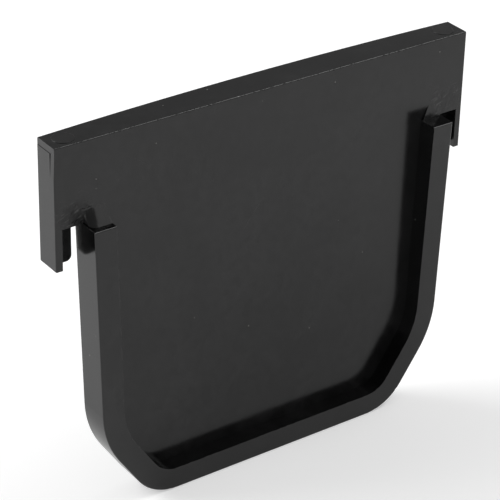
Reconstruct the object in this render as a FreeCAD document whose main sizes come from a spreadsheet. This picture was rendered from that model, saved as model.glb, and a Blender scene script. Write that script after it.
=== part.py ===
import FreeCAD, Part
import math
import os
import Sketcher

# End cap for a light surface-drainage channel, moulded in one piece from black polypropylene.
# Seen from the channel it is a flat panel with a raised U-shaped rim that enters the channel's end,
# a band across the top that closes the end of the grating, and a leg at each side that hooks
# over the outside of the channel's wall.
# X runs across the channel, Y points away from it and Z is up. The origin is at mid-width, in the
# panel's front plane, at the level where the band ends and the rim begins.

# Driving sizes in millimetres.
SIZES = {
    # the band and its legs
    "overall_width": 115.0,
    "band_height": 20.3,
    "band_end_depth": 7.2,
    "band_bow": 1.6,
    "band_wall": 1.75,
    "leg_wall": 1.7,
    "leg_drop": 10.4,
    # the web behind each slot, which stops the channel's wall
    "web_setback": 3.3,
    "web_reach": 5.85,
    "web_wall": 1.75,
    "web_corner_radius": 1.4,
    # the outline of the body that enters the channel
    "body_top_width": 101.1,
    "body_shoulder_width": 97.5,
    "body_shoulder_drop": 57.0,
    "body_bottom_width": 70.9,
    "body_drop": 76.65,
    "shoulder_radius": 25.7,
    "corner_radius": 13.0,
    # the rim round the panel, cored out from behind
    "panel_wall": 1.75,
    "rim_width": 5.7,
    "rim_projection": 5.2,
    "rim_return": 3.3,
    "rim_wall": 1.75,
    # the tapered wedges in the corners between the rim's upper ends and the band: the left one is
    # narrow and deep, the right one wide and shallow
    "wedge_inset_left": 1.55,
    "wedge_width_left": 3.2,
    "wedge_rise_left": 3.2,
    "wedge_lean_left": 1.4,
    "wedge_run_left": 3.2,
    "wedge_inset_right": 0.15,
    "wedge_width_right": 5.25,
    "wedge_rise_right": 3.5,
    "wedge_lean_right": 1.9,
    "wedge_run_right": 0.6,
    # the small rounding of the outer edges
    "edge_radius": 0.35,
    # the marks that the mould leaves: a pin mark near each end of the band's top, and the band's
    # end faces set back a little along their upper and front edges
    "pin_mark_diameter": 5.2,
    "pin_mark_height": 0.1,
    "pin_mark_edge_radius": 0.07,
    "pin_mark_inset": 4.5,
    "pin_mark_setback": 3.65,
    "end_relief": 0.15,
    "end_relief_fade": 6.0,
}

doc = FreeCAD.newDocument("gutter_end_cap")
sheet = doc.addObject("Spreadsheet::Sheet", "sizes")
for row, (alias, value) in enumerate(SIZES.items(), start=1):
    sheet.set(f"A{row}", alias)
    sheet.set(f"B{row}", str(value))
    sheet.setAlias(f"B{row}", alias)
doc.recompute()


def size(alias):
    """The value of a driving size, for the first drawing of a sketch."""
    return float(getattr(sheet, alias))


def point(x, y):
    return FreeCAD.Vector(x, y, 0)


body = doc.addObject("PartDesign::Body", "end_cap")
body.Label = "end_cap"


def new_sketch(name, role, offset):
    """A sketch on one of the body's planes, moved along the plane's normal by an expression."""
    plane = next(item for item in body.Origin.OriginFeatures if item.Role == role)
    sketch = body.newObject("Sketcher::SketchObject", name)
    sketch.AttachmentSupport = (plane, "")
    sketch.MapMode = "FlatFace"
    sketch.setExpression("AttachmentOffset.Base.z", offset)
    return sketch


def bind(sketch, constraint, name, expression):
    """Adds a dimension to a sketch and ties it to the sheet."""
    index = sketch.addConstraint(constraint)
    sketch.renameConstraint(index, name)
    sketch.setExpression(f"Constraints.{name}", expression)


def pad(name, sketch, length, reverse=False):
    feature = body.newObject("PartDesign::Pad", name)
    feature.Profile = sketch
    feature.setExpression("Length", length)
    feature.Reversed = reverse
    doc.recompute()
    return feature


def pocket(name, sketch, length=None, reverse=False):
    """Cuts a sketch to a depth, or right through where none is given, and checks that it cut something."""
    before = body.Shape.Volume
    feature = body.newObject("PartDesign::Pocket", name)
    feature.Profile = sketch
    feature.Reversed = reverse
    if length is None:
        feature.Type = "ThroughAll"
    else:
        feature.setExpression("Length", length)
    doc.recompute()
    if body.Shape.Volume >= before:
        raise RuntimeError(f"{name} removed nothing")
    return feature


ORIGIN = -1
ACROSS = -1
UPRIGHT = -2
START = 1
END = 2
CENTRE = 3


def closed_lines(sketch, corners):
    """Straight lines from corner to corner and back to the first. Gives the number of the first line."""
    first = len(sketch.Geometry)
    followers = corners[1:] + corners[:1]
    for corner, follower in zip(corners, followers):
        sketch.addGeometry(Part.LineSegment(corner, follower))
    for index in range(len(corners)):
        after = first + (index + 1) % len(corners)
        sketch.addConstraint(Sketcher.Constraint("Coincident", first + index, END, after, START))
    return first


def rectangle(sketch, name, left, right, bottom, top):
    """A rectangle whose four sides are pairs of a value and the expression that it follows."""
    lower = [point(left[0], bottom[0]), point(right[0], bottom[0])]
    upper = [point(right[0], top[0]), point(left[0], top[0])]
    first = closed_lines(sketch, lower + upper)
    for index in (0, 2):
        sketch.addConstraint(Sketcher.Constraint("Horizontal", first + index))
        sketch.addConstraint(Sketcher.Constraint("Vertical", first + index + 1))
    places = [("left", "DistanceX", first, left), ("right", "DistanceX", first + 1, right)]
    places += [("bottom", "DistanceY", first, bottom), ("top", "DistanceY", first + 2, top)]
    for side, kind, line, (value, expression) in places:
        constraint = Sketcher.Constraint(kind, ORIGIN, START, line, START, value)
        bind(sketch, constraint, f"{name}_{side}", expression)


def polygon(sketch, name, corners):
    """Straight lines through corners whose two places are pairs of a value and its expression."""
    first = closed_lines(sketch, [point(across[0], up[0]) for across, up in corners])
    for index, (across, up) in enumerate(corners):
        for kind, (value, expression) in (("DistanceX", across), ("DistanceY", up)):
            constraint = Sketcher.Constraint(kind, ORIGIN, START, first + index, START, value)
            bind(sketch, constraint, f"{name}_{kind}_{index}", expression)


# The band: a block as deep as the end walls and as tall as band and legs, with its back edge bowed.
half_width = size("overall_width") / 2
end_depth = size("band_end_depth")
crown = point(0, end_depth + size("band_bow"))
plan = new_sketch("band_plan", "XY_Plane", "sizes.band_height")
plan.addGeometry(Part.LineSegment(point(-half_width, 0), point(half_width, 0)))
plan.addGeometry(Part.LineSegment(point(half_width, 0), point(half_width, end_depth)))
plan.addGeometry(Part.Arc(point(half_width, end_depth), crown, point(-half_width, end_depth)))
plan.addGeometry(Part.LineSegment(point(-half_width, end_depth), point(-half_width, 0)))
plan.addConstraint(Sketcher.Constraint("Coincident", 0, END, 1, START))
plan.addConstraint(Sketcher.Constraint("Coincident", 1, END, 2, START))
plan.addConstraint(Sketcher.Constraint("Coincident", 2, END, 3, START))
plan.addConstraint(Sketcher.Constraint("Coincident", 3, END, 0, START))
plan.addConstraint(Sketcher.Constraint("PointOnObject", 0, START, ACROSS))
plan.addConstraint(Sketcher.Constraint("Symmetric", 0, START, 0, END, UPRIGHT))
plan.addConstraint(Sketcher.Constraint("Vertical", 1))
plan.addConstraint(Sketcher.Constraint("Vertical", 3))
plan.addConstraint(Sketcher.Constraint("Equal", 1, 3))
width_rule = Sketcher.Constraint("DistanceX", 0, START, 0, END, 2 * half_width)
bind(plan, width_rule, "width", "sizes.overall_width")
depth_rule = Sketcher.Constraint("DistanceY", 1, START, 1, END, end_depth)
bind(plan, depth_rule, "depth", "sizes.band_end_depth")
bow = size("band_bow")
bow_radius = (half_width ** 2 + bow ** 2) / (2 * bow)
bow_rule = "((sizes.overall_width / 2)^2 + sizes.band_bow^2) / (2 * sizes.band_bow)"
bind(plan, Sketcher.Constraint("Radius", 2, bow_radius), "bow_radius", bow_rule)
pad("band_block", plan, "sizes.band_height + sizes.leg_drop", reverse=True)

# The block is hollow behind and open below: a front wall, a top wall and two end walls are left.
inner_half = half_width - size("leg_wall")
inner_left = (-inner_half, "sizes.leg_wall - sizes.overall_width / 2")
inner_right = (inner_half, "sizes.overall_width / 2 - sizes.leg_wall")
below_legs = (-size("leg_drop") - size("band_wall"), "-sizes.leg_drop - sizes.band_wall")
under_top = (size("band_height") - size("band_wall"), "sizes.band_height - sizes.band_wall")
core = new_sketch("band_core", "XZ_Plane", "-sizes.band_wall")
rectangle(core, "core", inner_left, inner_right, below_legs, under_top)
pocket("band_hollow", core)

# Below the band's lower edge the front wall is gone, and only the two legs reach down.
gap = new_sketch("leg_gap", "XZ_Plane", "0")
rectangle(gap, "gap", inner_left, inner_right, below_legs, (0, "0"))
pocket("leg_opening", gap)

# A web joins each leg behind the slot, and its lower inner corner is rounded.
webs = new_sketch("web_outline", "XZ_Plane", "-sizes.web_setback")
web_edge = half_width - size("web_reach")
leg_foot = (-size("leg_drop"), "-sizes.leg_drop")
outer_left = (-half_width, "-sizes.overall_width / 2")
outer_right = (half_width, "sizes.overall_width / 2")
web_left = (-web_edge, "sizes.web_reach - sizes.overall_width / 2")
web_right = (web_edge, "sizes.overall_width / 2 - sizes.web_reach")
rectangle(webs, "left", outer_left, web_left, leg_foot, under_top)
rectangle(webs, "right", web_right, outer_right, leg_foot, under_top)
pad("webs", webs, "sizes.web_wall", reverse=True)


SAME_PLACE = 1e-4


def near(first, second):
    return abs(first - second) < SAME_PLACE


def fillet(name, radius, test):
    """Rounds the edges whose end points and middle pass a test."""
    base = body.Tip
    edges = []
    for number, edge in enumerate(base.Shape.Edges, start=1):
        middle = edge.valueAt((edge.FirstParameter + edge.LastParameter) / 2)
        ends = [vertex.Point for vertex in edge.Vertexes]
        if test(ends, middle):
            edges.append(f"Edge{number}")
    feature = body.newObject("PartDesign::Fillet", name)
    feature.Base = (base, edges)
    feature.setExpression("Radius", radius)
    doc.recompute()
    return feature


def at_web_corner(ends, middle):
    return all(near(abs(end.x), web_edge) and near(end.z, leg_foot[0]) for end in ends)


fillet("web_corners", "sizes.web_corner_radius", at_web_corner)


# The body's outline: straight sides that taper a little, slanting shoulders and a flat bottom.
# Every other outline of the body runs inside this one at an even distance.
side_top = point(size("body_top_width") / 2, 0)
shoulder = point(size("body_shoulder_width") / 2, -size("body_shoulder_drop"))
bottom = point(size("body_bottom_width") / 2, -size("body_drop"))


def body_corners(sketch):
    """Construction lines through the right-hand corners of the body, before rounding."""
    first = len(sketch.Geometry)
    sketch.addGeometry(Part.LineSegment(side_top, shoulder), True)
    sketch.addGeometry(Part.LineSegment(shoulder, bottom), True)
    sketch.addConstraint(Sketcher.Constraint("Coincident", first, END, first + 1, START))
    sketch.addConstraint(Sketcher.Constraint("PointOnObject", first, START, ACROSS))
    spots = [("top", first, START, side_top), ("shoulder", first, END, shoulder)]
    spots.append(("bottom", first + 1, END, bottom))
    for name, line, end, spot in spots:
        across = Sketcher.Constraint("DistanceX", ORIGIN, START, line, end, spot.x)
        bind(sketch, across, f"{name}_half", f"sizes.body_{name}_width / 2")
    down = Sketcher.Constraint("DistanceY", first, END, ORIGIN, START, -shoulder.y)
    bind(sketch, down, "shoulder_drop", "sizes.body_shoulder_drop")
    down = Sketcher.Constraint("DistanceY", first + 1, END, ORIGIN, START, -bottom.y)
    bind(sketch, down, "body_drop", "sizes.body_drop")
    return first


def meet(start, way, other_start, other_way):
    """Where two lines in the sketch plane cross."""
    gap = other_start - start
    cross = way.x * other_way.y - way.y * other_way.x
    along = (gap.x * other_way.y - gap.y * other_way.x) / cross
    return start + way * along


def inset_corners(inset, top):
    """The right-hand corners of an outline that runs inside the body's by an inset."""
    side_way = (shoulder - side_top).normalize()
    slant_way = (bottom - shoulder).normalize()
    side_start = side_top + point(side_way.y, -side_way.x) * inset
    slant_start = shoulder + point(slant_way.y, -slant_way.x) * inset
    level = point(1, 0)
    upper = meet(side_start, side_way, point(0, top), level)
    middle = meet(side_start, side_way, slant_start, slant_way)
    lower = meet(slant_start, slant_way, point(0, bottom.y + inset), level)
    return upper, middle, lower


def outline_run(sketch, name, corners, inset, top):
    """One run down the left side, along the bottom and up the right side, with its corners rounded.

    inset and top are pairs of a value and the expression that it follows.
    """
    upper, middle, lower = inset_corners(inset[0], top[0])
    mirrored = [point(-corner.x, corner.y) for corner in (upper, middle, lower)]
    stops = mirrored + [lower, middle, upper]
    radii = [size("shoulder_radius") - inset[0], size("corner_radius") - inset[0]]
    radii = radii + radii[::-1]
    first = len(sketch.Geometry)
    start = stops[0]
    for before, corner, after, radius in zip(stops, stops[1:], stops[2:], radii):
        way_in = (corner - before).normalize()
        way_out = (after - corner).normalize()
        turn = way_in.getAngle(way_out)
        reach = radius * math.tan(turn / 2)
        arc_start = corner - way_in * reach
        arc_end = corner + way_out * reach
        centre = arc_start + point(-way_in.y, way_in.x) * radius
        sketch.addGeometry(Part.LineSegment(start, arc_start))
        from_angle = math.atan2(arc_start.y - centre.y, arc_start.x - centre.x)
        circle = Part.Circle(centre, FreeCAD.Vector(0, 0, 1), radius)
        sketch.addGeometry(Part.ArcOfCircle(circle, from_angle, from_angle + turn))
        start = arc_end
    sketch.addGeometry(Part.LineSegment(start, stops[-1]))
    left, left_slant, base, right_slant, right = range(first, first + 9, 2)
    for piece in range(first, first + 8):
        sketch.addConstraint(Sketcher.Constraint("Tangent", piece, END, piece + 1, START))
    sketch.addConstraint(Sketcher.Constraint("Equal", first + 1, first + 7))
    sketch.addConstraint(Sketcher.Constraint("Equal", first + 3, first + 5))
    sketch.addConstraint(Sketcher.Constraint("Symmetric", left, START, right, END, UPRIGHT))
    sketch.addConstraint(Sketcher.Constraint("Symmetric", left_slant, START, right_slant, END, UPRIGHT))
    sketch.addConstraint(Sketcher.Constraint("Symmetric", base, START, base, END, UPRIGHT))
    shoulder_arc = Sketcher.Constraint("Radius", first + 7, radii[0])
    bind(sketch, shoulder_arc, f"{name}_shoulder_radius", f"sizes.shoulder_radius - ({inset[1]})")
    corner_arc = Sketcher.Constraint("Radius", first + 5, radii[1])
    bind(sketch, corner_arc, f"{name}_corner_radius", f"sizes.corner_radius - ({inset[1]})")
    for line, guide in ((right, corners), (right_slant, corners + 1)):
        sketch.addConstraint(Sketcher.Constraint("Parallel", line, guide))
        if inset[0] == 0:
            sketch.addConstraint(Sketcher.Constraint("PointOnObject", guide, START, line))
        else:
            away = Sketcher.Constraint("Distance", guide, START, line, inset[0])
            bind(sketch, away, f"{name}_inset_{guide}", inset[1])
    depth = Sketcher.Constraint("DistanceY", base, END, ORIGIN, START, -lower.y)
    bind(sketch, depth, f"{name}_depth", f"sizes.body_drop - ({inset[1]})")
    height = Sketcher.Constraint("DistanceY", ORIGIN, START, right, END, top[0])
    bind(sketch, height, f"{name}_top", top[1])
    return left, right


def join(sketch, line, end, other, other_end):
    """A straight line between two ends of an outline."""
    from_point = sketch.getPoint(line, end)
    to_point = sketch.getPoint(other, other_end)
    number = sketch.addGeometry(Part.LineSegment(from_point, to_point))
    sketch.addConstraint(Sketcher.Constraint("Coincident", line, end, number, START))
    sketch.addConstraint(Sketcher.Constraint("Coincident", number, END, other, other_end))


def closed_outline(name, offset, inset, top):
    sketch = new_sketch(name, "XZ_Plane", offset)
    left, right = outline_run(sketch, name, body_corners(sketch), inset, top)
    join(sketch, right, END, left, START)
    return sketch


# The body is first a solid plate, from the rim's front face to the back edge of its outer wall.
level_top = (0, "0")
over_top = (size("rim_wall"), "sizes.rim_wall")
plate = closed_outline("body_plate", "-sizes.rim_return", (0, "0"), level_top)
pad("body_solid", plate, "sizes.rim_return + sizes.rim_projection")

# The outer edges of its front face are rounded as a mould leaves them. The tray's edges stay sharp.
rim_front = -size("rim_projection")


def on_rim_front(ends, middle):
    return near(middle.y, rim_front) and all(near(end.y, rim_front) for end in ends)


fillet("rim_edges", "sizes.edge_radius", on_rim_front)

# The tray in front of the panel leaves the rim standing.
rim_inset = (size("rim_width"), "sizes.rim_width")
tray = closed_outline("tray_outline", "sizes.rim_projection", rim_inset, over_top)
pocket("tray", tray, "sizes.rim_projection")

# Behind the panel only the rim's outer wall reaches further back.
wall_inset = (size("rim_wall"), "sizes.rim_wall")
recess = closed_outline("recess_outline", "-sizes.rim_return", wall_inset, over_top)
pocket("back_recess", recess, "sizes.rim_return - sizes.panel_wall", reverse=True)

# The rim is cored from behind to an even wall, and closed at its two upper ends.
groove = new_sketch("groove_outline", "XZ_Plane", "-sizes.panel_wall")
guides = body_corners(groove)
end_wall = (-size("rim_wall"), "-sizes.rim_wall")
outer_run = outline_run(groove, "outer", guides, wall_inset, end_wall)
inner_inset = (size("rim_width") - size("rim_wall"), "sizes.rim_width - sizes.rim_wall")
inner_run = outline_run(groove, "inner", guides, inner_inset, end_wall)
join(groove, outer_run[1], END, inner_run[1], END)
join(groove, inner_run[0], START, outer_run[0], START)
pocket("rim_groove", groove, "sizes.panel_wall + sizes.rim_projection - sizes.rim_wall", reverse=True)


def wedge(side, start):
    """A wedge that narrows upwards, in the corner between the rim's upper end and the band's front.

    start is the place of its left side, a pair of a value and its expression.
    """
    left, left_rule = start
    width = size(f"wedge_width_{side}")
    lean = size(f"wedge_lean_{side}")
    run = size(f"wedge_run_{side}")
    right_rule = f"{left_rule} + sizes.wedge_width_{side}"
    foot = (0, "0")
    peak = (size(f"wedge_rise_{side}"), f"sizes.wedge_rise_{side}")
    upper_left = (left + lean, f"{left_rule} + sizes.wedge_lean_{side}")
    lower_right = (left + width, right_rule)
    upper_right = (left + width - lean, f"{right_rule} - sizes.wedge_lean_{side}")
    front = new_sketch(f"wedge_{side}_front", "XZ_Plane", "0")
    corners = [(start, foot), (lower_right, foot), (upper_right, peak), (upper_left, peak)]
    polygon(front, "wedge", corners)
    pad(f"wedge_{side}", front, f"sizes.wedge_run_{side}")
    slope = new_sketch(f"wedge_{side}_slope", "YZ_Plane", left_rule)
    toe = (-run, f"-sizes.wedge_run_{side}")
    polygon(slope, "slope", [(toe, foot), (foot, peak), (toe, peak)])
    pocket(f"wedge_{side}_face", slope, f"sizes.wedge_width_{side}", reverse=True)


rim_edge = size("body_top_width") / 2
left_start = size("wedge_inset_left") - rim_edge
wedge("left", (left_start, "sizes.wedge_inset_left - sizes.body_top_width / 2"))
right_start = rim_edge - size("wedge_inset_right") - size("wedge_width_right")
right_start_rule = "sizes.body_top_width / 2 - sizes.wedge_inset_right - sizes.wedge_width_right"
wedge("right", (right_start, right_start_rule))

# The edges of the band's top and ends are rounded too.
band_top = size("band_height")


def on_band_edge(ends, middle):
    on_top = all(near(end.z, band_top) for end in ends)
    on_end = all(near(abs(end.x), half_width) for end in ends)
    upright = near(ends[0].x, ends[-1].x) and near(ends[0].y, ends[-1].y)
    return on_top or (on_end and upright)


fillet("band_edges", "sizes.edge_radius", on_band_edge)

# A round mark stands a little proud near each end of the band's top, where an ejector pin stood.
pins = new_sketch("pin_marks_outline", "XY_Plane", "sizes.band_height")
pin_radius = size("pin_mark_diameter") / 2
pin_place = half_width - size("pin_mark_inset")
pin_rule = "(sizes.overall_width / 2 - sizes.pin_mark_inset)"
pin_spots = [("left", -pin_place, f"-{pin_rule}"), ("right", pin_place, pin_rule)]
for index, (side, place, place_rule) in enumerate(pin_spots):
    spot = point(place, size("pin_mark_setback"))
    pins.addGeometry(Part.Circle(spot, FreeCAD.Vector(0, 0, 1), pin_radius))
    across = Sketcher.Constraint("DistanceX", ORIGIN, START, index, CENTRE, spot.x)
    bind(pins, across, f"{side}_across", place_rule)
    back = Sketcher.Constraint("DistanceY", ORIGIN, START, index, CENTRE, spot.y)
    bind(pins, back, f"{side}_back", "sizes.pin_mark_setback")
    width = Sketcher.Constraint("Diameter", index, 2 * pin_radius)
    bind(pins, width, f"{side}_width", "sizes.pin_mark_diameter")
pad("pin_marks", pins, "sizes.pin_mark_height")
pin_top = band_top + size("pin_mark_height")


def on_pin_top(ends, middle):
    return near(middle.z, pin_top) and all(near(end.z, pin_top) for end in ends)


fillet("pin_edges", "sizes.pin_mark_edge_radius", on_pin_top)

# Each end face is set back along its upper edge, and along its front edge by less and less further down.
relief = size("end_relief")
fade_end = (under_top[0] - size("end_relief_fade"), f"{under_top[1]} - sizes.end_relief_fade")
relief_left = (relief - half_width, "sizes.end_relief - sizes.overall_width / 2")
relief_right = (half_width - relief, "sizes.overall_width / 2 - sizes.end_relief")
top_level = (band_top, "sizes.band_height")
upper_relief = new_sketch("upper_relief_outline", "XZ_Plane", "0")
rectangle(upper_relief, "left", outer_left, relief_left, under_top, top_level)
rectangle(upper_relief, "right", relief_right, outer_right, under_top, top_level)
pocket("upper_relief", upper_relief)
front_relief = new_sketch("front_relief_outline", "XZ_Plane", "0")
left_corners = [(outer_left, under_top), (outer_left, fade_end), (relief_left, under_top)]
polygon(front_relief, "left", left_corners)
right_corners = [(outer_right, under_top), (relief_right, under_top), (outer_right, fade_end)]
polygon(front_relief, "right", right_corners)
pocket("front_relief", front_relief, "sizes.band_wall")

doc.recompute()
for item in doc.Objects:
    if "Invalid" in item.State or "Error" in item.State:
        raise RuntimeError(f"{item.Name} failed")
shape = body.Shape
if shape.isNull() or not shape.isValid() or len(shape.Solids) != 1:
    raise RuntimeError("end_cap is not one valid solid")

os.makedirs("parts", exist_ok=True)
shape.exportStep(f"parts/{body.Label}.step")
print(f"{body.Label}: {shape.Volume:.0f} cubic mm, {len(shape.Faces)} faces")
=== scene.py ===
import math

import bmesh
import bpy
from mathutils import Matrix, Vector


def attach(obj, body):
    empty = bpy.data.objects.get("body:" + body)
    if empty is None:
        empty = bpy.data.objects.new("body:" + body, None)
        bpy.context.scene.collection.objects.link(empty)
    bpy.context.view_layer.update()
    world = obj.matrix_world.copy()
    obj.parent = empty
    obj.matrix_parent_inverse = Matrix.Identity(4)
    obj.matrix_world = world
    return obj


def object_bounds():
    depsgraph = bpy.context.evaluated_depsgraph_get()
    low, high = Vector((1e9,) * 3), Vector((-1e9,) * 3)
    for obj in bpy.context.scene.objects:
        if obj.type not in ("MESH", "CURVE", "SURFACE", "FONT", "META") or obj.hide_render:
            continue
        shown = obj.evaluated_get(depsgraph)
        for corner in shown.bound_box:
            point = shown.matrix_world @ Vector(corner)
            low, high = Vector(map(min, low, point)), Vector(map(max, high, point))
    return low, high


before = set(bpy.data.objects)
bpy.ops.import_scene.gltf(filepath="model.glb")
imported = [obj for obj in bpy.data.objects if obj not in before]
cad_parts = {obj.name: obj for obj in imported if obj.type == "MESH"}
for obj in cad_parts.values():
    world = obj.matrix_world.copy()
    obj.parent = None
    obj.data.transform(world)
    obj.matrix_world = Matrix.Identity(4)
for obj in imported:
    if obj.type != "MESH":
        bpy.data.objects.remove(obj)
cad_low, cad_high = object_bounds()

# The end cap. Panel, rim, band, legs and wedges are one injection moulding in black polypropylene.
# The front comes from a polished mould, so it is smooth with a soft gloss and faint flow marks. The back
# comes from a spark-eroded mould and is duller. Handling rubs the outer edges and scuffs the slots; the
# outer edges are also painted lighter as a painted highlight.
MM = 0.001
PLASTIC_IOR = 1.49
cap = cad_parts["end_cap"]
plastic = bpy.data.materials.new("black_moulded_plastic")
plastic.use_nodes = True
tree = plastic.node_tree
shader = tree.nodes["Principled BSDF"]
shader.inputs["IOR"].default_value = PLASTIC_IOR
cap.data.materials.clear()
cap.data.materials.append(plastic)


def add_node(kind, inputs, **settings):
    """A node of the material in hand, with its settings made and its inputs set or linked."""
    made = tree.nodes.new(kind)
    for name, value in settings.items():
        setattr(made, name, value)
    for name, value in inputs.items():
        if isinstance(value, bpy.types.NodeSocket):
            tree.links.new(value, made.inputs[name])
        else:
            made.inputs[name].default_value = value
    return made


def noise(vector, size, detail, roughness=0.5):
    """Soft random patches about as wide as a size."""
    inputs = {"Vector": vector, "Scale": 1 / size, "Detail": detail, "Roughness": roughness}
    return add_node("ShaderNodeTexNoise", inputs).outputs["Fac"]


def fade(value, low, high, low_out=0.0, high_out=1.0):
    """A value carried smoothly from one range to another."""
    inputs = {"Value": value, "From Min": low, "From Max": high, "To Min": low_out, "To Max": high_out}
    return add_node("ShaderNodeMapRange", inputs, interpolation_type="SMOOTHSTEP").outputs["Result"]


def work(operation, first, second):
    """Two values, or a value and a number, worked into one."""
    return add_node("ShaderNodeMath", {0: first, 1: second}, operation=operation).outputs[0]


def tint(mask, colour, over):
    """A colour with another laid over it where a mask shows."""
    return add_node("ShaderNodeMix", {0: mask, 6: colour, 7: over}, data_type="RGBA").outputs[2]


where = add_node("ShaderNodeTexCoord", {})
spot = where.outputs["Object"]
height = add_node("ShaderNodeSeparateXYZ", {0: spot}).outputs["Z"]
facing_back = add_node("ShaderNodeSeparateXYZ", {0: where.outputs["Normal"]}).outputs["Y"]
facing_front = fade(facing_back, -0.5, -0.9)

# Faint clouds in the gloss, and rings where the melt ran out from the gate behind the panel.
CLOUD_SIZE = 16 * MM
MOTTLE_SIZE = 2.4 * MM
GATE = Vector((0, 0, -24)) * MM
RING_SCALE = 12.0
RING_WOBBLE = 5.0
clouds = noise(spot, CLOUD_SIZE, 3)
mottle = noise(spot, MOTTLE_SIZE, 4, 0.6)
from_gate = add_node("ShaderNodeVectorMath", {0: spot, 1: GATE}, operation="SUBTRACT").outputs[0]
ring_inputs = {
    "Vector": from_gate,
    "Scale": RING_SCALE,
    "Distortion": RING_WOBBLE,
    "Detail": 2.0,
    "Detail Scale": 2.5,
}
rings = add_node("ShaderNodeTexWave", ring_inputs, wave_type="RINGS", rings_direction="SPHERICAL")
flow = fade(rings.outputs["Fac"], 0.25, 0.75)

# Grain of the mould's surface, and the slight waves of a thin wall that shrank as it cooled.
GRAIN_SIZE = 0.35 * MM
WAVE_SIZE = 5 * MM
grain = noise(spot, GRAIN_SIZE, 2)
waves = noise(spot, WAVE_SIZE, 1)

# Fine scratches in two slants, in patches.
SCRATCH_SLANTS = (math.radians(28), math.radians(-52))
SCRATCH_SIZE = Vector((22, 1.7, 0.4)) * MM
SCRATCH_PATCH = 14 * MM


def streaks(slant, size, start, full):
    """Thin streaks of a size, tilted out of the level in the panel's plane."""
    inputs = {"Vector": spot, "Rotation": (0, slant, 0), "Scale": size}
    turned = add_node("ShaderNodeMapping", inputs, vector_type="TEXTURE").outputs[0]
    return fade(noise(turned, 1.0, 1), start, full)


gentle, steep = [streaks(slant, SCRATCH_SIZE, 0.70, 0.78) for slant in SCRATCH_SLANTS]
patches = fade(noise(spot, SCRATCH_PATCH, 1), 0.5, 0.7)
scratches = work("MULTIPLY", work("MAXIMUM", gentle, steep), patches)

# Sparse pale specks of dust.
DUST_SPACING = 2.6 * MM
cells = add_node("ShaderNodeTexVoronoi", {"Vector": spot, "Scale": 1 / DUST_SPACING})
draw = add_node("ShaderNodeSeparateColor", {0: cells.outputs["Color"]}).outputs[0]
specks = fade(cells.outputs["Distance"], 0.10, 0.05)
dust = work("MULTIPLY", specks, fade(draw, 0.94, 0.96))

# Rubbed outer edges, painted lighter as wear and as a painted highlight: looking inwards, the wall is
# shaded where two faces meet in an outer edge.
EDGE_WIDTH = 0.5 * MM
RUB_AND_HIGHLIGHT_SIZE = 2.2 * MM
inside_settings = {"inside": True, "only_local": True, "samples": 8}
inside = add_node("ShaderNodeAmbientOcclusion", {"Distance": EDGE_WIDTH}, **inside_settings)
edges = fade(inside.outputs["AO"], 0.82, 0.50)
rubbed_and_highlit_edges = work("MULTIPLY", edges, fade(noise(spot, RUB_AND_HIGHLIGHT_SIZE, 4, 0.65), 0.42, 0.62))

# Scuffs, lumps and short drag marks round the two slots, where the cap is pushed over the channel's walls.
# The cap is folded about its middle, so that one place stands for both sides.
SCUFF_PLACE = Vector((52.5, 0, 2.4)) * MM
SCUFF_REACH = 7.0 * MM
SCUFF_CORE = 2.5 * MM
SCUFF_SIZE = 1.6 * MM
LUMP_SIZE = 1.1 * MM
DRAG_SLANT = math.radians(-20)
DRAG_SIZE = Vector((3.5, 1.7, 0.5)) * MM


def distance(first, second):
    """How far one place is from another."""
    made = add_node("ShaderNodeVectorMath", {0: first, 1: second}, operation="DISTANCE")
    return made.outputs["Value"]


either_side = add_node("ShaderNodeVectorMath", {0: spot}, operation="ABSOLUTE").outputs[0]
aside = add_node("ShaderNodeSeparateXYZ", {0: either_side}).outputs
folded_inputs = {"X": aside["X"], "Y": aside["Y"], "Z": height}
folded = add_node("ShaderNodeCombineXYZ", folded_inputs).outputs[0]
near_slot = fade(distance(folded, SCUFF_PLACE), SCUFF_REACH, SCUFF_CORE)
scuffed = work("MULTIPLY", near_slot, fade(noise(spot, SCUFF_SIZE, 3), 0.2, 0.5))
scuffed = work("MULTIPLY", scuffed, facing_front)
lumps = work("MULTIPLY", scuffed, noise(spot, LUMP_SIZE, 4))
nicks = work("MULTIPLY", scuffed, streaks(DRAG_SLANT, DRAG_SIZE, 0.60, 0.70))

# Two round pin marks on the top, one at each end.
PIN_PLACE = Vector((53.0, 3.65, 20.4)) * MM
PIN_RADIUS = 2.55 * MM
PIN_SOFT_EDGE = 0.2 * MM
pin_marks = fade(distance(folded, PIN_PLACE), PIN_RADIUS + PIN_SOFT_EDGE, PIN_RADIUS)

# Dull dashes along the band's upper front edge, from knocks in handling, and pale spots there that are
# painted glints on the edge's highlight.
EDGE_LEVEL = 19.6 * MM
EDGE_FADE = 0.3 * MM
DASH_SIZE = 0.8 * MM
GLINT_SIZE = 1.2 * MM
rounded = work("MULTIPLY", fade(facing_back, -0.99, -0.9), fade(facing_back, -0.1, -0.3))
top_edge = work("MULTIPLY", rounded, fade(height, EDGE_LEVEL, EDGE_LEVEL + EDGE_FADE))
dashes = work("MULTIPLY", top_edge, fade(noise(spot, DASH_SIZE, 2), 0.52, 0.62))
painted_edge_glints = work("MULTIPLY", top_edge, fade(noise(spot, GLINT_SIZE, 2), 0.64, 0.70))
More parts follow.
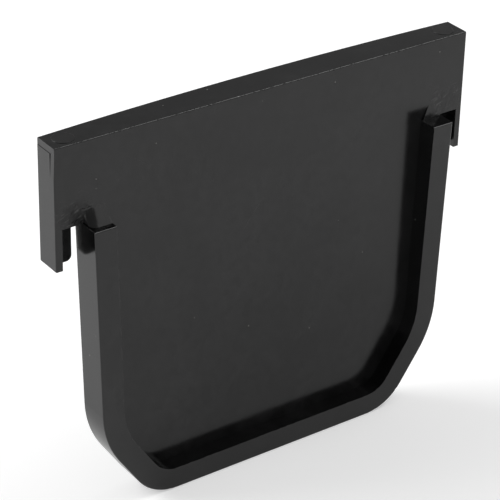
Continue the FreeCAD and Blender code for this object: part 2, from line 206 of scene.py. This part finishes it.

# Deep black, a shade greyer where it is scratched, nicked, rubbed or dusty. The front faces are painted
# greyer in mottled patches, painted light that the shaded tray walls don't get; the rubbed edges are
# partly a painted highlight, and the pale spots on the upper front edge are painted glints.
DEEP_BLACK = (0.0016, 0.0016, 0.0017, 1)
CLOUDED_BLACK = (0.008, 0.008, 0.0082, 1)
PAINTED_LIGHT_FRONT_BLACK = (0.016, 0.016, 0.0162, 1)
WORN_AND_HIGHLIGHT_GREY = (0.035, 0.035, 0.035, 1)
NICK_AND_GLINT_GREY = (0.13, 0.13, 0.128, 1)
DUST_GREY = (0.16, 0.158, 0.15, 1)
SCRATCH_SHARE = 0.3
NICK_SHARE = 0.5
hazy = work("MULTIPLY", fade(clouds, 0.3, 0.7), fade(mottle, 0.3, 0.7))
painted_front_light = work("MULTIPLY", fade(mottle, 0.0, 0.9), fade(clouds, 0.3, 0.7, 0.6, 1.15))
colour = tint(hazy, DEEP_BLACK, CLOUDED_BLACK)
# Front faces painted a shade greyer in mottled patches: painted light, against the shaded walls of the
# tray.
colour = tint(work("MULTIPLY", facing_front, painted_front_light), colour, PAINTED_LIGHT_FRONT_BLACK)
colour = tint(work("MULTIPLY", scratches, SCRATCH_SHARE), colour, WORN_AND_HIGHLIGHT_GREY)
colour = tint(work("MULTIPLY", nicks, NICK_SHARE), colour, NICK_AND_GLINT_GREY)
# Outer edges painted lighter: wear, and a painted highlight along the edges.
colour = tint(rubbed_and_highlit_edges, colour, WORN_AND_HIGHLIGHT_GREY)
# Pale spots along the upper front edge: painted glints on its highlight line.
colour = tint(painted_edge_glints, colour, NICK_AND_GLINT_GREY)
colour = tint(dust, colour, DUST_GREY)
tree.links.new(colour, shader.inputs["Base Color"])

# Soft gloss in front, duller on the back and where it is marked or dusty.
POLISHED_ROUGHNESS = 0.155
CLOUDED_ROUGHNESS = 0.20
FLOW_ROUGHNESS = 0.018
BACK_ROUGHNESS = 0.36
DULL_PLACES = (
    (scuffed, 0.38),
    (pin_marks, 0.34),
    (rubbed_and_highlit_edges, 0.40),
    (dashes, 0.55),
    (dust, 0.70),
)
dullness = fade(clouds, 0.3, 0.7, POLISHED_ROUGHNESS, CLOUDED_ROUGHNESS)
dullness = work("ADD", dullness, work("MULTIPLY", flow, FLOW_ROUGHNESS))
for mark, roughness in DULL_PLACES:
    dullness = work("MAXIMUM", dullness, work("MULTIPLY", mark, roughness))
dullness = work("MAXIMUM", dullness, fade(facing_back, 0.2, 0.6, 0.0, BACK_ROUGHNESS))
tree.links.new(dullness, shader.inputs["Roughness"])

# The relief of the surface, in thousandths of a millimetre.
THOUSANDTH = 0.001 * MM
FRONT_GRAIN = 2.5
BACK_GRAIN = 14.0
RELIEF_HEIGHTS = (
    (waves, 13.0),
    (scratches, -2.0),
    (dust, 12.0),
    (lumps, 130.0),
)
relief = work("MULTIPLY", grain, fade(facing_back, 0.2, 0.6, FRONT_GRAIN, BACK_GRAIN))
for mark, rise in RELIEF_HEIGHTS:
    relief = work("ADD", relief, work("MULTIPLY", mark, rise))
bump = add_node("ShaderNodeBump", {"Strength": 1.0, "Distance": THOUSANDTH, "Height": relief})
tree.links.new(bump.outputs["Normal"], shader.inputs["Normal"])

# The panel's face. It is the front of the panel inside the rim, moulded with the cap. It leans forward a
# little towards its foot, so the tray is shallower there, and its edges run on inside the rim's wall.
FACE_LEAN = 0.0125
FACE_BACK = 0.9 * MM
FACE_RIGHT_HALF = (
    (45.6, 2.0), (44.0, -49.5), (43.4, -53.5), (42.3, -57.2), (40.5, -60.5),
    (35.2, -68.3), (33.2, -70.4), (31.0, -71.4), (28.6, -71.7),
)


def wall_between(form, first_loop, second_loop):
    """A closed strip of faces from one loop of points to the next."""
    for index in range(len(first_loop)):
        near_side = (first_loop[index - 1], first_loop[index])
        far_side = (second_loop[index], second_loop[index - 1])
        form.faces.new(near_side + far_side)


def put_in(name, form, material):
    """A piece made from a form, in one material, and put into the scene."""
    mesh = bpy.data.meshes.new(name)
    form.to_mesh(mesh)
    form.free()
    mesh.materials.append(material)
    piece = bpy.data.objects.new(name, mesh)
    bpy.context.scene.collection.objects.link(piece)
    return piece


outline = list(FACE_RIGHT_HALF) + [(-across, up) for across, up in reversed(FACE_RIGHT_HALF)]
slab = bmesh.new()
front = [slab.verts.new((across * MM, FACE_LEAN * up * MM, up * MM)) for across, up in outline]
back = [slab.verts.new((across * MM, FACE_BACK, up * MM)) for across, up in outline]
slab.faces.new(front)
slab.faces.new(back)
wall_between(slab, front, back)
bmesh.ops.recalc_face_normals(slab, faces=slab.faces)
panel_face = put_in("panel_face", slab, plastic)
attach(panel_face, "root")

# The left corner ramp. A solid web moulded with the cap, in the corner between the rim's upper end and the
# band. Its face slopes up from the rim to the band and rounds off towards the slot.
RAMP_SLOT_END = -50.5 * MM
RAMP_SLOT_CORNER = -50.2 * MM
RAMP_FLAT_START = -48.1 * MM
RAMP_TRAY_END = -44.9 * MM
RAMP_RUN = 3.3 * MM
RAMP_RISE = 3.5 * MM
RAMP_LEAN = 1.4 * MM
RAMP_ROOT = 0.8 * MM
RAMP_SINK = 0.08 * MM
RAMP_LEVELS = 12
TURN_STEPS = 16
SHARP_ANGLE = math.radians(30)
web = bmesh.new()
sections = []
for level in range(RAMP_LEVELS + 1):
    up = -RAMP_ROOT + (RAMP_RISE + RAMP_ROOT + RAMP_SINK) * level / RAMP_LEVELS
    depth = RAMP_RUN * (1 - up / RAMP_RISE)
    lean = RAMP_LEAN * up / RAMP_RISE
    slot_end = Vector((RAMP_SLOT_END, RAMP_ROOT, up))
    corner = Vector((RAMP_SLOT_CORNER + lean, -depth, up))
    flat_start = Vector((RAMP_FLAT_START + lean, -depth, up))
    halfway = corner.lerp(flat_start, 0.5)
    loop = [Vector((RAMP_TRAY_END, RAMP_ROOT, up))]
    for step in range(TURN_STEPS + 1):
        along = step / TURN_STEPS
        first = slot_end.lerp(corner, along)
        second = corner.lerp(halfway, along)
        third = halfway.lerp(flat_start, along)
        loop.append(first.lerp(second, along).lerp(second.lerp(third, along), along))
    loop.append(Vector((RAMP_TRAY_END, -depth, up)))
    sections.append([web.verts.new(point) for point in loop])
for lower, upper in zip(sections, sections[1:]):
    wall_between(web, lower, upper)
web.faces.new(sections[0])
web.faces.new(sections[-1])
bmesh.ops.recalc_face_normals(web, faces=web.faces)
corner_ramp = put_in("corner_ramp", web, plastic)
corner_ramp.data.shade_smooth()
corner_ramp.data.set_sharp_from_angle(angle=SHARP_ANGLE)
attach(corner_ramp, "root")

# The floor. A plain white studio sweep of painted board that the cap stands on.
# Far out it curves up into a low wall, and near the cap it keeps the soft shadow.
BOARD_WHITE = (0.8, 0.8, 0.8, 1)
BOARD_ROUGHNESS = 0.9
PURE_WHITE = (1, 1, 1, 1)
board = bpy.data.materials.new("white_board")
board.use_nodes = True
tree = board.node_tree
surface = tree.nodes["Principled BSDF"]
surface.inputs["Base Color"].default_value = BOARD_WHITE
surface.inputs["Roughness"].default_value = BOARD_ROUGHNESS
surface.inputs["Specular IOR Level"].default_value = 0.0
surface.inputs["Emission Color"].default_value = PURE_WHITE

# The board is lifted, more of it further out, so that it comes out white where it is seen and pale where
# the cap mirrors it. The lift lights nothing else.
# Near the cap's foot the mirrored lift is smaller: a painted shade on the board, seen where the cap's
# lower panel mirrors it.
FOOT_START = 0.08
FOOT_END = 0.24
FOOT_LIFT = (0.18, 0.235)
FAR_START = 0.25
FAR_END = 1.6
FAR_LIFT = (0.0, 0.565)
SEEN_LIFT = (0.40, 0.8)
path = add_node("ShaderNodeLightPath", {}).outputs
floor_spot = add_node("ShaderNodeNewGeometry", {}).outputs["Position"]
away = add_node("ShaderNodeVectorMath", {0: floor_spot}, operation="LENGTH").outputs["Value"]
seen = work("MULTIPLY", path["Is Camera Ray"], fade(away, FAR_START, FAR_END, *SEEN_LIFT))
foot_lift = fade(away, FOOT_START, FOOT_END, *FOOT_LIFT)
mirrored_lift = work("ADD", foot_lift, fade(away, FAR_START, FAR_END, *FAR_LIFT))
in_mirror = work("MAXIMUM", path["Is Glossy Ray"], path["Is Transmission Ray"])
mirrored = work("MULTIPLY", in_mirror, mirrored_lift)
tree.links.new(work("MAXIMUM", seen, mirrored), surface.inputs["Emission Strength"])

SWEEP_RADIUS = 3.0
SWEEP_FLAT = 2.3
SWEEP_HEIGHT = 0.5
SWEEP_STEPS = 10
SWEEP_SIDES = 96
FULL_TURN = 2 * math.pi
MERGE_DISTANCE = 0.1 * MM
floor_level = cad_low.z
sweep = bmesh.new()
profile = [sweep.verts.new((0, 0, floor_level)), sweep.verts.new((SWEEP_FLAT, 0, floor_level))]
for step in range(1, SWEEP_STEPS + 1):
    turn = FULL_TURN / 4 * step / SWEEP_STEPS
    out = SWEEP_FLAT + (SWEEP_RADIUS - SWEEP_FLAT) * math.sin(turn)
    rise = SWEEP_HEIGHT * (1 - math.cos(turn))
    profile.append(sweep.verts.new((out, 0, floor_level + rise)))
runs = [sweep.edges.new(pair) for pair in zip(profile, profile[1:])]
spin_settings = {"axis": (0, 0, 1), "cent": (0, 0, 0), "steps": SWEEP_SIDES, "angle": FULL_TURN}
bmesh.ops.spin(sweep, geom=profile + runs, **spin_settings)
bmesh.ops.remove_doubles(sweep, verts=sweep.verts, dist=MERGE_DISTANCE)
floor = put_in("studio_sweep", sweep, board)
floor.data.shade_smooth()

# The light. A grey room with three soft boxes: a large one behind on the left, one overhead, and a weak
# one high in front.
ROOM_LIGHT = 0.27
LAMP_DISTANCE = 1.2
world = bpy.data.worlds.new("studio")
bpy.context.scene.world = world
world.use_nodes = True
room = world.node_tree.nodes["Background"]
room.inputs["Color"].default_value = PURE_WHITE
room.inputs["Strength"].default_value = ROOM_LIGHT


def soft_box(name, direction, width, power):
    """A square soft box that faces the cap from a direction."""
    lamp = bpy.data.lights.new(name, "AREA")
    lamp.size = width
    lamp.energy = power
    towards = Vector(direction).normalized()
    box = bpy.data.objects.new(name, lamp)
    box.location = towards * LAMP_DISTANCE
    box.rotation_euler = towards.to_track_quat("Z", "Y").to_euler()
    bpy.context.scene.collection.objects.link(box)


soft_box("left_soft_box", direction=(-0.62, 0.60, 0.50), width=1.0, power=13.4)
soft_box("upper_soft_box", direction=(0.53, -0.15, 0.80), width=0.6, power=4.2)
soft_box("front_soft_box", direction=(0.50, -0.50, 0.71), width=0.5, power=0.5)

# The camera. It stands half a metre off, to the front left of the cap and above it, and looks down
# through a long lens. It is turned a little on its axis.
VIEW_AZIMUTH = math.radians(35.655)
VIEW_ELEVATION = math.radians(29.745)
VIEW_ROLL = math.radians(1.388)
VIEW_DISTANCE = 528.6 * MM
VIEW_AIM = Vector((-5.04, 0, -20.76)) * MM
VIEW_LENS = 161.9
VIEW_START = 10 * MM
view_line = Vector((-math.sin(VIEW_AZIMUTH), -math.cos(VIEW_AZIMUTH), math.tan(VIEW_ELEVATION)))
view_line.normalize()
camera_data = bpy.data.cameras.new("camera")
camera_data.lens = VIEW_LENS
camera_data.clip_start = VIEW_START
camera = bpy.data.objects.new("camera", camera_data)
bpy.context.scene.collection.objects.link(camera)
stand = Matrix.Translation(VIEW_AIM + view_line * VIEW_DISTANCE)
aimed = (-view_line).to_track_quat("-Z", "Y").to_matrix().to_4x4()
camera.matrix_world = stand @ aimed @ Matrix.Rotation(VIEW_ROLL, 4, "Z")
bpy.context.scene.camera = camera
bpy.context.scene.view_settings.view_transform = "Standard"
